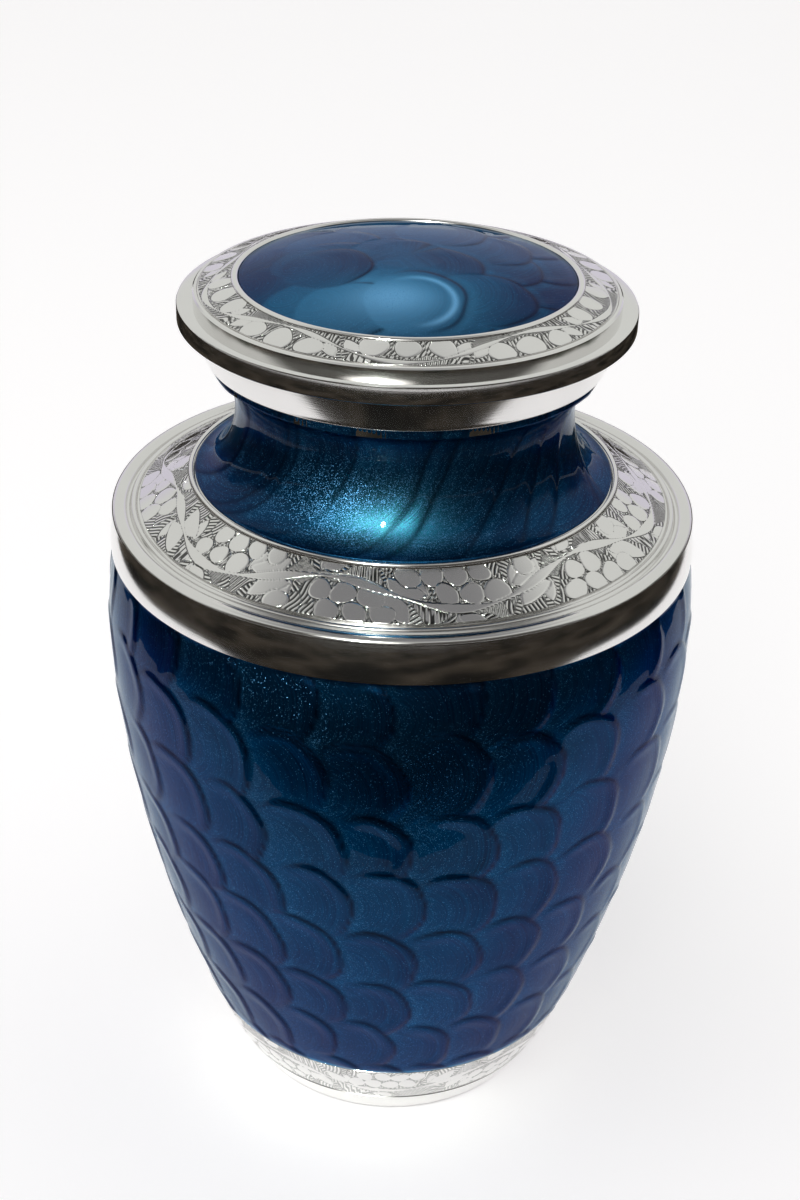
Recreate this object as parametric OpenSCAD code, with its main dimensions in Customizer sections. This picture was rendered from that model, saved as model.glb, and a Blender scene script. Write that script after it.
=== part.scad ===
// Lidded funeral urn: an enamelled metal vessel and a lift-off lid, both hollow.
// The origin is the centre of the foot's underside, and +Z is up.

/* [Belly] */
// Widest diameter of the belly
belly_d = 174.5; // [168:0.5:182]
// Height of the belly's widest place
belly_wide_z = 160; // [150:0.5:168]
// Height of the enamel's lower edge, where the foot band starts
belly_low_z = 27.5; // [22:0.5:34]
// Diameter of the belly at that lower edge
belly_low_d = 123.5; // [116:0.5:130]
// Wall thickness of the whole vessel
wall = 2.4; // [1.6:0.1:3.2]

/* [Foot] */
// Diameter of the foot where it stands
foot_d = 97; // [92:0.5:104]
// Height of the plain lip at the bottom of the foot
foot_lip_h = 10.5; // [6:0.5:14]
// Depth of the recess under the floor
foot_recess = 3; // [2:0.5:6]

/* [Shoulder] */
// Diameter of the upright polished band
shoulder_d = 170; // [166:0.5:172]
// Height of the band's lower edge
band_low_z = 185.5; // [180:0.5:190]
// Height of the shoulder's outer corner
corner_z = 197; // [193:0.5:199]
// Outer diameter of the engraved slope
slope_low_d = 152.5; // [148:0.5:156]
// Height of the engraved slope's outer edge
slope_low_z = 198.6; // [197.5:0.1:200]

/* [Neck] */
// Outer diameter of the neck's spreading foot
neck_foot_d = 121; // [114:0.5:126]
// Height of the neck's spreading foot
neck_foot_z = 207.8; // [204:0.1:212]
// Diameter at the waist of the neck
waist_d = 96; // [92:0.5:102]
// Height of the waist
waist_z = 227.5; // [222:0.5:232]
// Diameter of the collar that the lid stands on
collar_d = 109; // [105:0.5:112]
// Diameter of the mouth
mouth_d = 91; // [86:0.5:91]

/* [Lid] */
// Height of the collar's top, where the lid rests
seat_z = 243; // [241:0.5:246]
// Diameter of the skirt at its bottom
skirt_d = 112.4; // [108:0.1:114]
// Diameter of the skirt where it meets the rim
skirt_top_d = 116.4; // [114:0.1:120]
// Diameter of the lid's rim
rim_d = 127; // [122:0.5:132]
// Height of the rim's lower edge
rim_low_z = 253.4; // [252:0.1:256]
// Height of the rim's flat top
rim_top_z = 258.5; // [257:0.1:260]
// Outer diameter of the raised engraved band
lid_band_d = 118; // [112:0.5:120]
// Diameter of the enamel dome
dome_d = 93; // [88:0.5:98]
// Height of the dome's edge
dome_edge_z = 264.8; // [263:0.1:267]
// Rise of the dome above its edge
dome_rise = 6; // [4:0.5:9]
// Wall thickness of the lid
lid_wall = 2.2; // [1.6:0.1:2.6]
// Depth of the sleeve that hangs in the mouth
sleeve_h = 12; // [8:0.5:16]
// Gap between the sleeve and the mouth, on the radius
sleeve_gap = 0.5; // [0.3:0.1:0.8]

/* [Hidden] */
$fn = 128;
eps = 0.01;
metal = [0.80, 0.80, 0.78];
enamel = [0.05, 0.18, 0.36];

// Radii worked out from the diameters above
belly_r = belly_d / 2;
belly_low_r = belly_low_d / 2;
band_r = shoulder_d / 2;
foot_r = foot_d / 2;
waist_r = waist_d / 2;
neck_foot_r = neck_foot_d / 2;
collar_r = collar_d / 2;
mouth_r = mouth_d / 2;
skirt_r = skirt_d / 2;
rim_r = rim_d / 2;
lid_band_r = lid_band_d / 2;
dome_r = dome_d / 2;

enamel_lap = 0.7; // the enamel's thick edge stands this far proud of the foot
groove_d = 0.5; // depth of the turned grooves
collar_h = 3; // height of the collar's upright side

// A round stretch from angle a0 to a1 of an ellipse about (x, y)
function arc(x, y, rx, ry, a0, a1, n = 12) =
    [for (i = [0 : n]) let (a = a0 + (a1 - a0) * i / n) [x + rx * cos(a), y + ry * sin(a)]];

// Belly: it draws in from its widest place, slowly above and faster below
belly_curve = 1.75; // power of the long lower curve
function belly_x(z) = z > belly_wide_z
    ? belly_r - (belly_r - band_r + 0.4) * pow((z - belly_wide_z) / (band_low_z - belly_wide_z), 2)
    : belly_r - (belly_r - belly_low_r) * pow((belly_wide_z - z) / (belly_wide_z - belly_low_z), belly_curve);
function belly(inset, z0, z1, n = 24) =
    [for (i = [0 : n]) let (z = z0 + (z1 - z0) * i / n) [belly_x(z) - inset, z]];

// Foot: it carries on the belly's taper, a little rounded
foot_top_r = belly_low_r - enamel_lap;
foot_swell = 1.2; // how far its middle swells past a straight taper
function foot_x(z) = foot_r + (foot_top_r - foot_r) * z / belly_low_z + foot_swell * sin(180 * z / belly_low_z);
function foot(inset, z0, z1, n = 6) =
    [for (i = [0 : n]) let (z = z0 + (z1 - z0) * i / n) [foot_x(z) - inset, z]];

// Neck: hollow curve up from the spreading foot to the waist, then out to the collar
neck_rx = neck_foot_r - waist_r;
neck_rz = waist_z - neck_foot_z;
flare_rx = collar_r - waist_r;
flare_rz = seat_z - collar_h - waist_z;

// Shoulder mouldings, counted inward from the outer corner
cushion_w = 4.4;
cushion_h = 1.5;
bead_r = 0.75;
fillet_r = 0.8;
slope_top_r = neck_foot_r + 2 * fillet_r;
slope_top_z = neck_foot_z - 0.9;

module vessel_outside() {
    polygon(concat(
        [[0, 0], [foot_r - 0.6, 0]],
        foot(0, 0.6, foot_lip_h, 4),
        [[foot_x(foot_lip_h + 0.5) - groove_d, foot_lip_h + 0.5]],
        foot(0, foot_lip_h + 1.2, belly_low_z - 0.6),
        belly(0, belly_low_z, band_low_z - 0.2),
        [[band_r, band_low_z + 0.2], [band_r, corner_z - 0.6]],
        arc(band_r - cushion_w / 2, corner_z, cushion_w / 2, cushion_h, 0, 180),
        [[band_r - cushion_w - 1.4, corner_z]],
        [[slope_low_d / 2 + 2 * bead_r + 0.9, corner_z + 0.6]],
        arc(slope_low_d / 2 + bead_r + 0.9, corner_z + 0.6, bead_r, bead_r, 0, 180),
        [[slope_low_d / 2 + 0.5, slope_low_z - groove_d], [slope_low_d / 2, slope_low_z]],
        [[slope_top_r, slope_top_z]],
        arc(neck_foot_r + fillet_r, slope_top_z, fillet_r, 1.5 * fillet_r, 0, 180),
        arc(neck_foot_r, waist_z, neck_rx, neck_rz, 265, 180),
        arc(collar_r, waist_z, flare_rx, flare_rz, 175, 100),
        [[collar_r, seat_z - collar_h], [collar_r, seat_z - 0.4], [collar_r - 0.4, seat_z], [0, seat_z]]
    ));
}

// The hollow follows the outside one wall thickness further in, down to the floor
floor_z = foot_recess + wall;
mouth_low_z = waist_z - 2;
module vessel_hollow() {
    polygon(concat(
        [[0, floor_z]],
        foot(wall, floor_z, belly_low_z - 1),
        belly(wall, belly_low_z + 1, band_low_z),
        [[band_r - wall - 0.6, corner_z - wall], [slope_low_d / 2 - 1, slope_low_z - wall]],
        [[neck_foot_r - 0.5, slope_top_z - wall]],
        arc(neck_foot_r, mouth_low_z, neck_foot_r - mouth_r, mouth_low_z - slope_top_z + wall - 0.5, 260, 180),
        [[mouth_r, seat_z + 1], [0, seat_z + 1]]
    ));
}

module vessel() {
    color(enamel)
    difference() {
        rotate_extrude() vessel_outside();
        rotate_extrude() vessel_hollow();
        translate([0, 0, -1]) cylinder(h = foot_recess + 1, r = foot_r - 2 * wall);
    }
}

// Lid: skirt, upright rim, stepped-up engraved band and a low dome
skirt_round = 0.6; // rounding of the skirt's bottom edge
skirt_top_r = skirt_top_d / 2;
skirt_z = seat_z + skirt_round;
skirt = [for (i = [0 : 10]) let (t = i / 10)
    [skirt_r + (skirt_top_r - skirt_r) * t * (1.15 - 0.15 * t), skirt_z + (rim_low_z - skirt_z) * t]];
ring_r = 1; // half width of the round ring about the dome
dome_ball_r = (dome_r * dome_r + dome_rise * dome_rise) / (2 * dome_rise);
dome_ball_z = dome_edge_z + dome_rise - dome_ball_r;
dome_edge_a = asin(dome_r / dome_ball_r);
band_out_z = rim_top_z + 3;
band_in_r = dome_r + 2 * ring_r;
band_in_z = dome_edge_z - 0.3;

module lid_outside() {
    polygon(concat(
        [[0, seat_z]],
        arc(skirt_r - skirt_round, skirt_z, skirt_round, skirt_round, -90, -10, 4),
        skirt,
        [[rim_r - 0.3, rim_low_z], [rim_r, rim_low_z + 0.3], [rim_r, rim_top_z - 0.5], [rim_r - 0.5, rim_top_z]],
        [[lid_band_r, rim_top_z], [lid_band_r, band_out_z - 0.3], [lid_band_r - 0.3, band_out_z]],
        [[lid_band_r - 1.1, band_out_z + 0.1], [lid_band_r - 1.4, band_out_z - 0.2], [lid_band_r - 1.7, band_out_z + 0.3]],
        [[band_in_r, band_in_z]],
        arc(dome_r + ring_r, band_in_z, ring_r, 0.7, 0, 180, 6),
        arc(0, dome_ball_z, dome_ball_r, dome_ball_r, 90 - dome_edge_a, 90)
    ));
}

// The lid's hollow opens downward through the sleeve
sleeve_r = mouth_r - sleeve_gap;
sleeve_in_r = sleeve_r - lid_wall + 0.2;
module lid_hollow() {
    hollow_ball_r = dome_ball_r - lid_wall;
    polygon(concat(
        [[0, seat_z - sleeve_h - 1], [sleeve_in_r, seat_z - sleeve_h - 1], [sleeve_in_r, seat_z + lid_wall]],
        [[skirt_r - lid_wall, seat_z + lid_wall], [skirt_top_r - lid_wall, rim_low_z - 1.5]],
        [[skirt_top_r - lid_wall, rim_low_z + 0.5], [lid_band_r - lid_wall, band_out_z - lid_wall - 0.4]],
        arc(0, dome_ball_z, hollow_ball_r, hollow_ball_r, 90 - dome_edge_a, 90)
    ));
}

module lid() {
    color(metal)
    difference() {
        union() {
            rotate_extrude() lid_outside();
            translate([0, 0, seat_z - sleeve_h]) cylinder(h = sleeve_h + eps, r = sleeve_r);
        }
        rotate_extrude() lid_hollow();
    }
}

vessel();
lid();
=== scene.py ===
"""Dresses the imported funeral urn: bright turned metal, hand-cut bands and brushed pearl enamel.

Every visible piece is spun on the urn's own axis from a section that follows the CAD solids, and
stands for the vessel or the lid. Cut and brushed surfaces are then raised point by point."""
import math

import bpy
import numpy as np
from mathutils import Matrix, Vector


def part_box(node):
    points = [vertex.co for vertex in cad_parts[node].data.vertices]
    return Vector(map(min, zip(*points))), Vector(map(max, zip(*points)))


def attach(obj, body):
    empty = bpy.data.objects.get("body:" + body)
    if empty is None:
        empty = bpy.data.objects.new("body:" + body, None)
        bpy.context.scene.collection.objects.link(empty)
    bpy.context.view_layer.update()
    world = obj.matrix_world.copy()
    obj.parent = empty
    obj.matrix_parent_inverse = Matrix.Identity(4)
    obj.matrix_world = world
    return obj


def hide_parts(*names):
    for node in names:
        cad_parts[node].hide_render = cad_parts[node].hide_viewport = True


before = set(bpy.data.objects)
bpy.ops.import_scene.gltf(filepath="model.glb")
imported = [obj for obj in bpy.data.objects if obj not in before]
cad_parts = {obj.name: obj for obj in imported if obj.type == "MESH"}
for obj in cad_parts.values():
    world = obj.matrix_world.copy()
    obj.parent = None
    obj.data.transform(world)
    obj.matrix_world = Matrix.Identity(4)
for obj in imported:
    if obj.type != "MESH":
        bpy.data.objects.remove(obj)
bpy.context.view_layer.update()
VESSEL_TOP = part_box("vessel")[1]
LID_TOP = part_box("lid")[1]

bl_info = {
    "name": "Funeral urn",
    "version": (1, 0, 0),
    "blender": (4, 5, 0),
    "location": "View3D > Sidebar > Urn",
    "description": "Builds an enamelled metal urn with engraved bands and a lift-off lid",
    "category": "Object",
}

MM = 0.001
THIN = 0.6 * MM  # how thick the engraved bands and the neck's enamel are
TURNINGS = 2600.0  # how fine the lathe's marks are
FLAKES = 7000.0  # how fine the enamel's flakes are
SUN = (-0.212, -0.791, 0.574)  # the way to the sun


# Sizes and colours that a user would change


def length(name, description, default):
    return bpy.props.FloatProperty(
        name=name, description=description, default=default, unit="LENGTH", precision=4
    )


def tint(name, description, default):
    return bpy.props.FloatVectorProperty(
        name=name, description=description, default=default, subtype="COLOR", size=3, min=0, max=1
    )


class UrnVesselSizes(bpy.types.PropertyGroup):
    """Sizes of the vessel"""

    belly_d: length("Belly width", "Widest diameter of the belly", 2 * VESSEL_TOP.x)
    belly_wide_z: length("Belly's widest height", "Height of the widest place", 0.160)
    belly_low_z: length("Enamel's lower edge", "Height where the foot band starts", 0.0275)
    belly_low_d: length("Width at that edge", "Diameter of the belly at its lower edge", 0.1235)
    wall: length("Wall", "Thickness of the vessel's wall", 0.0024)
    foot_d: length("Foot width", "Diameter of the foot where it stands", 0.097)
    foot_lip_h: length("Foot lip", "Height of the plain lip of the foot", 0.0105)
    foot_recess: length("Foot recess", "Depth of the recess under the floor", 0.003)
    shoulder_d: length("Shoulder width", "Diameter of the upright band", 0.170)
    band_low_z: length("Band's lower edge", "Height of the upright band's lower edge", 0.1855)
    corner_z: length("Shoulder corner", "Height of the shoulder's outer corner", 0.197)
    slope_low_d: length("Slope width", "Outer diameter of the engraved slope", 0.1525)
    slope_low_z: length("Slope height", "Height of the slope's outer edge", 0.1986)
    neck_foot_d: length("Neck foot width", "Outer diameter of the neck's spreading foot", 0.121)
    neck_foot_z: length("Neck foot height", "Height of the neck's spreading foot", 0.2078)
    waist_d: length("Waist width", "Diameter at the waist of the neck", 0.096)
    waist_z: length("Waist height", "Height of the waist", 0.2275)
    collar_d: length("Collar width", "Diameter of the collar under the lid", 0.109)
    mouth_d: length("Mouth width", "Diameter of the mouth", 0.091)


class UrnLidSizes(bpy.types.PropertyGroup):
    """Sizes of the lid"""

    seat_z: length("Seat height", "Height at which the lid rests", VESSEL_TOP.z)
    skirt_d: length("Skirt width", "Diameter of the skirt at its bottom", 0.1124)
    skirt_top_d: length("Skirt's top width", "Diameter of the skirt where it meets the rim", 0.1164)
    rim_d: length("Rim width", "Diameter of the rim", 2 * LID_TOP.x)
    rim_low_z: length("Rim's lower edge", "Height of the rim's lower edge", 0.2534)
    rim_top_z: length("Rim's top", "Height of the rim's flat top", 0.2585)
    band_d: length("Band width", "Outer diameter of the raised engraved band", 0.118)
    dome_d: length("Dome width", "Diameter of the enamel dome", 0.093)
    dome_rise: length("Dome rise", "Rise of the dome above its edge", 0.006)
    wall: length("Lid wall", "Thickness of the lid's wall", 0.0022)
    sleeve_h: length("Sleeve", "Depth of the sleeve that hangs in the mouth", 0.012)
    sleeve_gap: length("Sleeve gap", "Gap round the sleeve", 0.0005)


class UrnFinish(bpy.types.PropertyGroup):
    """Finishes of the metal and the enamel"""

    metal: tint("Bright metal", "Colour of the polished metal", (0.80, 0.79, 0.78))
    # painted shade: the colour painted into the bottoms and outlines of the cuts
    shaded_cut_metal: tint("Cut metal", "Colour at the bottom of the cuts", (0.045, 0.045, 0.042))
    enamel: tint("Enamel", "Colour of the enamel", (0.0015, 0.060, 0.155))
    # the enamel where it lies thick, and also where shade is painted into it
    deep_and_shaded_enamel: tint("Deep enamel", "Colour where the enamel lies thick", (0.0030, 0.018, 0.060))
    # colour of the lines between the scales and of the shade painted just outside their lips
    enamel_line_and_shade: tint("Enamel line", "Colour along the edges of the brushed scales", (0.0006, 0.003, 0.012))
    pearl: tint("Pearl", "Colour of the lid's thin, pearly enamel", (0.050, 0.300, 0.580))
    # painted light: the colour of the painted highlights on the lid's dome and along the belly's lower edge
    painted_light: tint("Glow", "Colour of the lid's light curl and of the belly's lower edge", (0.24, 0.55, 0.92))
    # painted highlight: the colour of the light patches painted low on the neck
    neck_painted_light: tint("Teal", "Colour of the patches brushed low on the neck", (0.013, 0.085, 0.092))
    flake: tint("Flake", "Colour of the metallic flakes", (0.100, 0.300, 0.600))
    cut_depth: length("Cut depth", "Depth of the engraver's background cuts", 0.00009)
    cut_pitch: length("Cut pitch", "Distance between the background cuts", 0.00115)
    scale_count: bpy.props.IntProperty(
        name="Scales", description="Scales in one row round the belly", default=25
    )
    scale_lift: length("Scale lift", "How far a scale's edge stands out", 0.00034)


# Sections: lists of (radius, height), which run up the outside and inward over the top


def arc(x, y, rx, ry, start, end, count=12):
    """A round stretch of an ellipse about (x, y), from one angle in degrees to another."""
    turns = np.radians(np.linspace(start, end, count + 1))
    return [(x + rx * math.cos(a), y + ry * math.sin(a)) for a in turns]


def run(outline, low, high, count):
    """Points of an outline that gives a radius for a height."""
    return [(outline(z), z) for z in np.linspace(low, high, count + 1)]


def shifted(points, out):
    """The same stretch moved outward along its own normal."""
    p = np.array(points, float)
    along = np.gradient(p, axis=0)
    along /= np.linalg.norm(along, axis=1)[:, None]
    return [tuple(q) for q in p + out * np.stack([along[:, 1], -along[:, 0]], 1)]


def spaced(points, step):
    """The same stretch with points at an even distance along it."""
    p = np.array(points, float)
    walked = np.concatenate([[0], np.cumsum(np.linalg.norm(np.diff(p, axis=0), axis=1))])
    at = np.linspace(0, walked[-1], max(2, round(walked[-1] / step)) + 1)
    return [(np.interp(d, walked, p[:, 0]), np.interp(d, walked, p[:, 1])) for d in at]


class Vessel:
    """The stretches of the vessel's section."""

    COAT = 0.5 * MM  # how far the body lies under a piece that covers it
    FILLET_R = 0.8 * MM
    BEAD_R = 0.75 * MM
    CUSHION_W = 4.4 * MM
    CUSHION_H = 1.5 * MM
    CUSHION_IN = 0.8 * MM  # how far it stands in from the upright band
    BARREL = 0.40 * MM  # how strongly the upright band is rounded
    COLLAR_H = 3 * MM
    LAP = 0.7 * MM  # how far the enamel's lower edge stands proud of the foot
    SWELL = 1.2 * MM  # how far the foot's side bulges
    BELLY_CURVE = 1.75

    def __init__(self, s):
        self.s = s
        self.band_r = s.shoulder_d / 2
        self.slope_low_r = s.slope_low_d / 2
        self.neck_foot_r = s.neck_foot_d / 2
        self.slope_top_r = self.neck_foot_r + 2 * self.FILLET_R
        self.slope_top_z = s.neck_foot_z - 0.9 * MM
        self.seat_z = VESSEL_TOP.z

    def belly_r(self, z):
        s = self.s
        wide, low = s.belly_d / 2, s.belly_low_d / 2
        if z > s.belly_wide_z:
            share = (z - s.belly_wide_z) / (s.band_low_z - s.belly_wide_z)
            return wide - (wide - self.band_r + 0.4 * MM) * share**2
        share = (s.belly_wide_z - z) / (s.belly_wide_z - s.belly_low_z)
        return wide - (wide - low) * share**self.BELLY_CURVE

    def foot_r(self, z):
        s = self.s
        low, high = s.foot_d / 2, s.belly_low_d / 2 - self.LAP
        share = z / s.belly_low_z
        return low + (high - low) * share + self.SWELL * math.sin(math.pi * share)

    def foot_lip(self):
        return run(self.foot_r, 0.6 * MM, self.s.foot_lip_h, 6)

    def foot_band(self):
        return run(self.foot_r, self.s.foot_lip_h + 0.9 * MM, self.s.belly_low_z - 0.1 * MM, 24)

    def belly(self):
        return run(self.belly_r, self.s.belly_low_z, self.s.band_low_z - 0.1 * MM, 48)

    def band(self):
        """The upright band, rounded in towards its upper edge."""
        s, r = self.s, self.band_r
        low, high = s.band_low_z + 0.2 * MM, s.corner_z - 0.4 * MM
        levels = np.linspace(-1, 1, 9)
        bulge = [(r - self.BARREL * (t + 0.7) ** 2, (low + high + t * (high - low)) / 2) for t in levels]
        return [(r - 0.7 * MM, s.band_low_z)] + bulge

    def mouldings(self):
        s, r, low = self.s, self.band_r, self.slope_low_r
        half, bead_r = self.CUSHION_W / 2, self.BEAD_R
        cushion = arc(r - self.CUSHION_IN - half, s.corner_z, half, self.CUSHION_H, 0, 180, 16)
        bead = arc(low + bead_r + 0.9 * MM, s.corner_z + 0.6 * MM, bead_r, bead_r, 0, 180, 10)
        gutter = [(r - self.CUSHION_W - 1.4 * MM, s.corner_z)]
        return cushion + gutter + bead + [(low + 0.5 * MM, s.slope_low_z - 0.5 * MM)]

    def slope(self):
        return [(self.slope_low_r, self.s.slope_low_z), (self.slope_top_r, self.slope_top_z)]

    def fillet(self):
        r = self.FILLET_R
        return arc(self.neck_foot_r + r, self.slope_top_z, r, 1.5 * r, 0, 180)

    def neck(self):
        s = self.s
        foot_r, waist_r, collar_r = self.neck_foot_r, s.waist_d / 2, s.collar_d / 2
        flare_z = self.seat_z - self.COLLAR_H
        rise = arc(foot_r, s.waist_z, foot_r - waist_r, s.waist_z - s.neck_foot_z, 268, 182, 24)
        flare = arc(collar_r, s.waist_z, collar_r - waist_r, flare_z - s.waist_z, 178, 98, 18)
        return rise + flare

    def collar(self):
        r, top = self.s.collar_d / 2, self.seat_z
        return [(r, top - self.COLLAR_H + 0.3 * MM), (r, top - 0.5 * MM), (r - 0.5 * MM, top)]

    def hollow(self):
        """The inside, from the mouth down to the floor."""
        s, wall = self.s, self.s.wall
        mouth_r, mouth_z = s.mouth_d / 2, s.waist_z - 2 * MM
        deep = mouth_z - self.slope_top_z + wall - 0.5 * MM
        up = shifted(run(self.foot_r, s.foot_recess + wall, s.belly_low_z - MM, 6), -wall)
        up += shifted(run(self.belly_r, s.belly_low_z + MM, s.band_low_z, 24), -wall)
        up += [(self.band_r - wall - 0.6 * MM, s.corner_z - wall)]
        up += [(self.slope_low_r - MM, s.slope_low_z - wall)]
        up += [(self.neck_foot_r - 0.5 * MM, self.slope_top_z - wall)]
        up += arc(self.neck_foot_r, mouth_z, self.neck_foot_r - mouth_r, deep, 260, 180)
        up += [(mouth_r, self.seat_z - 0.4 * MM), (mouth_r + 0.4 * MM, self.seat_z)]
        return up[::-1]

    def body(self):
        """The whole metal body, set back under the pieces that cover it."""
        s, recess = self.s, self.s.foot_recess
        foot_in = s.foot_d / 2 - 2 * s.wall
        under = [(0, recess), (foot_in - 0.5 * MM, recess), (foot_in, recess - 0.5 * MM)]
        under += [(foot_in, 0.4 * MM), (foot_in + 0.4 * MM, 0), (s.foot_d / 2 - 0.6 * MM, 0)]
        groove = [(self.foot_r(s.foot_lip_h) - 0.5 * MM, s.foot_lip_h + 0.5 * MM)]
        outside = under + self.foot_lip() + groove + shifted(self.foot_band(), -self.COAT)
        outside += shifted(self.belly(), -0.9 * MM) + self.band() + self.mouldings()
        outside += shifted(self.slope(), -self.COAT) + self.fillet()
        outside += shifted(self.neck(), -self.COAT) + self.collar()
        return outside + self.hollow() + [(0, recess + s.wall)]


class Lid:
    """The stretches of the lid's section."""

    RING_R = 1.0 * MM
    SKIRT_ROUND = 0.6 * MM
    STEP_H = 3.0 * MM

    def __init__(self, s, mouth_r):
        self.s = s
        self.mouth_r = mouth_r
        self.dome_r = s.dome_d / 2
        self.edge_z = LID_TOP.z - s.dome_rise
        self.ball_r = (self.dome_r**2 + s.dome_rise**2) / (2 * s.dome_rise)
        self.ball_z = LID_TOP.z - self.ball_r
        self.ring_z = self.edge_z - 0.3 * MM
        self.step_z = s.rim_top_z + self.STEP_H
        self.skirt_top_r = s.skirt_top_d / 2

    def cap(self, ball_r, reach, count=24):
        """A round cap out to a radius, from its edge to its top."""
        edge = math.asin(reach / ball_r)
        turns = np.linspace(edge, 0, count + 1)
        return [(ball_r * math.sin(a), self.ball_z + ball_r * math.cos(a)) for a in turns]

    def skirt(self):
        s, r = self.s, self.s.skirt_d / 2
        low = s.seat_z + self.SKIRT_ROUND
        turned = arc(r - self.SKIRT_ROUND, low, self.SKIRT_ROUND, self.SKIRT_ROUND, -90, -10, 5)
        rise = [(r + (self.skirt_top_r - r) * t * (1.15 - 0.15 * t), t) for t in np.linspace(0, 1, 13)]
        return turned + [(r, low + (s.rim_low_z - low) * t) for r, t in rise]

    def rim(self):
        s, r = self.s, self.s.rim_d / 2
        side = [(r - 0.3 * MM, s.rim_low_z), (r, s.rim_low_z + 0.3 * MM), (r, s.rim_top_z - 0.5 * MM)]
        side += [(r - 0.15 * MM, s.rim_top_z - 0.15 * MM), (r - 0.5 * MM, s.rim_top_z)]
        step = s.band_d / 2
        side += [(step, s.rim_top_z), (step, self.step_z - 0.4 * MM), (step - 0.4 * MM, self.step_z)]
        return side + [(step - 1.1 * MM, self.step_z + 0.1 * MM), (step - 1.4 * MM, self.step_z - 0.2 * MM)]

    def band(self):
        outer = (self.s.band_d / 2 - 1.7 * MM, self.step_z + 0.3 * MM)
        return [outer, (self.dome_r + 2 * self.RING_R, self.ring_z)]

    def ring(self):
        return arc(self.dome_r + self.RING_R, self.ring_z, self.RING_R, 0.7 * MM, 0, 180, 10)

    def body(self):
        """The whole metal lid from the top of its hollow, round the skirt and up to the dome."""
        s = self.s
        sleeve_r = self.mouth_r - s.sleeve_gap
        sleeve_in = sleeve_r - s.wall + 0.2 * MM
        low = s.seat_z - s.sleeve_h
        hollow = self.cap(self.ball_r - s.wall, self.dome_r, 8)[::-1]
        hollow += [(s.band_d / 2 - s.wall, self.step_z - s.wall - 0.4 * MM)]
        skirt_in = self.skirt_top_r - s.wall
        hollow += [(skirt_in, s.rim_low_z + 0.5 * MM), (skirt_in, s.rim_low_z - 1.5 * MM)]
        hollow += [(s.skirt_d / 2 - s.wall, s.seat_z + s.wall), (sleeve_in, s.seat_z + s.wall)]
        sleeve = [(sleeve_in, low + 0.3 * MM), (sleeve_in + 0.3 * MM, low), (sleeve_r - 0.4 * MM, low)]
        sleeve += [(sleeve_r, low + 0.4 * MM), (sleeve_r, s.seat_z)]
        outside = self.skirt() + self.rim() + shifted(self.band(), -0.5 * MM) + self.ring()
        return hollow + sleeve + outside + self.cap(self.ball_r - 0.9 * MM, self.dome_r - 0.1 * MM)


# Making a piece


def lathe(name, section, steps, closed=False, along=None):
    """Turns a section about the upright axis. along says how far up the worked face each point lies,
    and is below 0 off that face."""
    bpy.ops.object.select_all(action="DESELECT")
    bpy.ops.mesh.primitive_circle_add(vertices=len(section), radius=0.1)
    piece = bpy.context.object
    piece.name = piece.data.name = name
    for corner, (r, z) in zip(piece.data.vertices, section):
        corner.co = (r, 0, z)
    if along is not None:
        store(piece, "along", along)
    if not closed:
        piece.data.vertices.foreach_set("select", [False] * len(section))
        for edge in piece.data.edges:
            edge.select = set(edge.vertices) == {0, len(section) - 1}
        bpy.ops.object.mode_set(mode="EDIT")
        bpy.ops.mesh.select_mode(type="EDGE")
        bpy.ops.mesh.delete(type="EDGE")
        bpy.ops.object.mode_set(mode="OBJECT")
    bpy.ops.object.modifier_add(type="SCREW")
    turn = piece.modifiers["Screw"]
    turn.axis, turn.angle = "Z", 2 * math.pi
    turn.steps = turn.render_steps = steps
    turn.use_merge_vertices = True
    bpy.ops.object.modifier_apply(modifier="Screw")
    bpy.ops.object.mode_set(mode="EDIT")
    bpy.ops.mesh.select_mode(type="VERT")
    bpy.ops.mesh.select_all(action="SELECT")
    bpy.ops.mesh.remove_doubles(threshold=0.01 * MM)
    bpy.ops.mesh.delete_loose(use_verts=True, use_edges=True, use_faces=False)
    bpy.ops.mesh.normals_make_consistent(inside=False)
    bpy.ops.object.mode_set(mode="OBJECT")
    bpy.ops.object.shade_smooth()
    return piece


def shell(name, face, thick, step, steps):
    """A thin closed shell whose outer face has points close together, for relief."""
    outer = spaced(face, step)
    inner = shifted(spaced(face, 8 * step), -thick)[::-1]
    walked = list(np.linspace(0, 1, len(outer)))
    return lathe(name, outer + inner, steps, closed=True, along=walked + [-1] * len(inner))


def read(items, name, width=1):
    """One number or one row of numbers from each of a mesh's items."""
    values = np.zeros(len(items) * width, np.float32)
    items.foreach_get(name, values)
    return values.reshape(-1, width).astype(float)


def numbers(piece, name):
    return read(piece.data.attributes[name].data, "value")[:, 0]


def corners(piece):
    return read(piece.data.vertices, "co", 3)


def store(piece, name, values):
    if name not in piece.data.attributes:
        piece.data.attributes.new(name, "FLOAT", "POINT")
    piece.data.attributes[name].data.foreach_set("value", np.asarray(values, np.float32))


def raise_by(piece, height):
    """Moves each point out along its normal."""
    normals = read(piece.data.vertex_normals, "vector", 3)
    places = corners(piece) + normals * height[:, None]
    piece.data.vertices.foreach_set("co", places.astype(np.float32).ravel())
    piece.data.update()


def sharpen(piece, degrees):
    bpy.ops.object.select_all(action="DESELECT")
    piece.select_set(True)
    bpy.context.view_layer.objects.active = piece
    bpy.ops.object.shade_smooth_by_angle(angle=math.radians(degrees))


def hand_over(piece, node, material):
    piece.data.materials.clear()
    piece.data.materials.append(material)
    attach(piece, "root")
    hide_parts(node)


def ramp(value, low, high):
    """0 below low, 1 above high and smooth between."""
    share = np.clip((value - low) / (high - low), 0, 1)
    return share * share * (3 - 2 * share)


# Work on a surface that is unrolled flat, in millimetres


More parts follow.
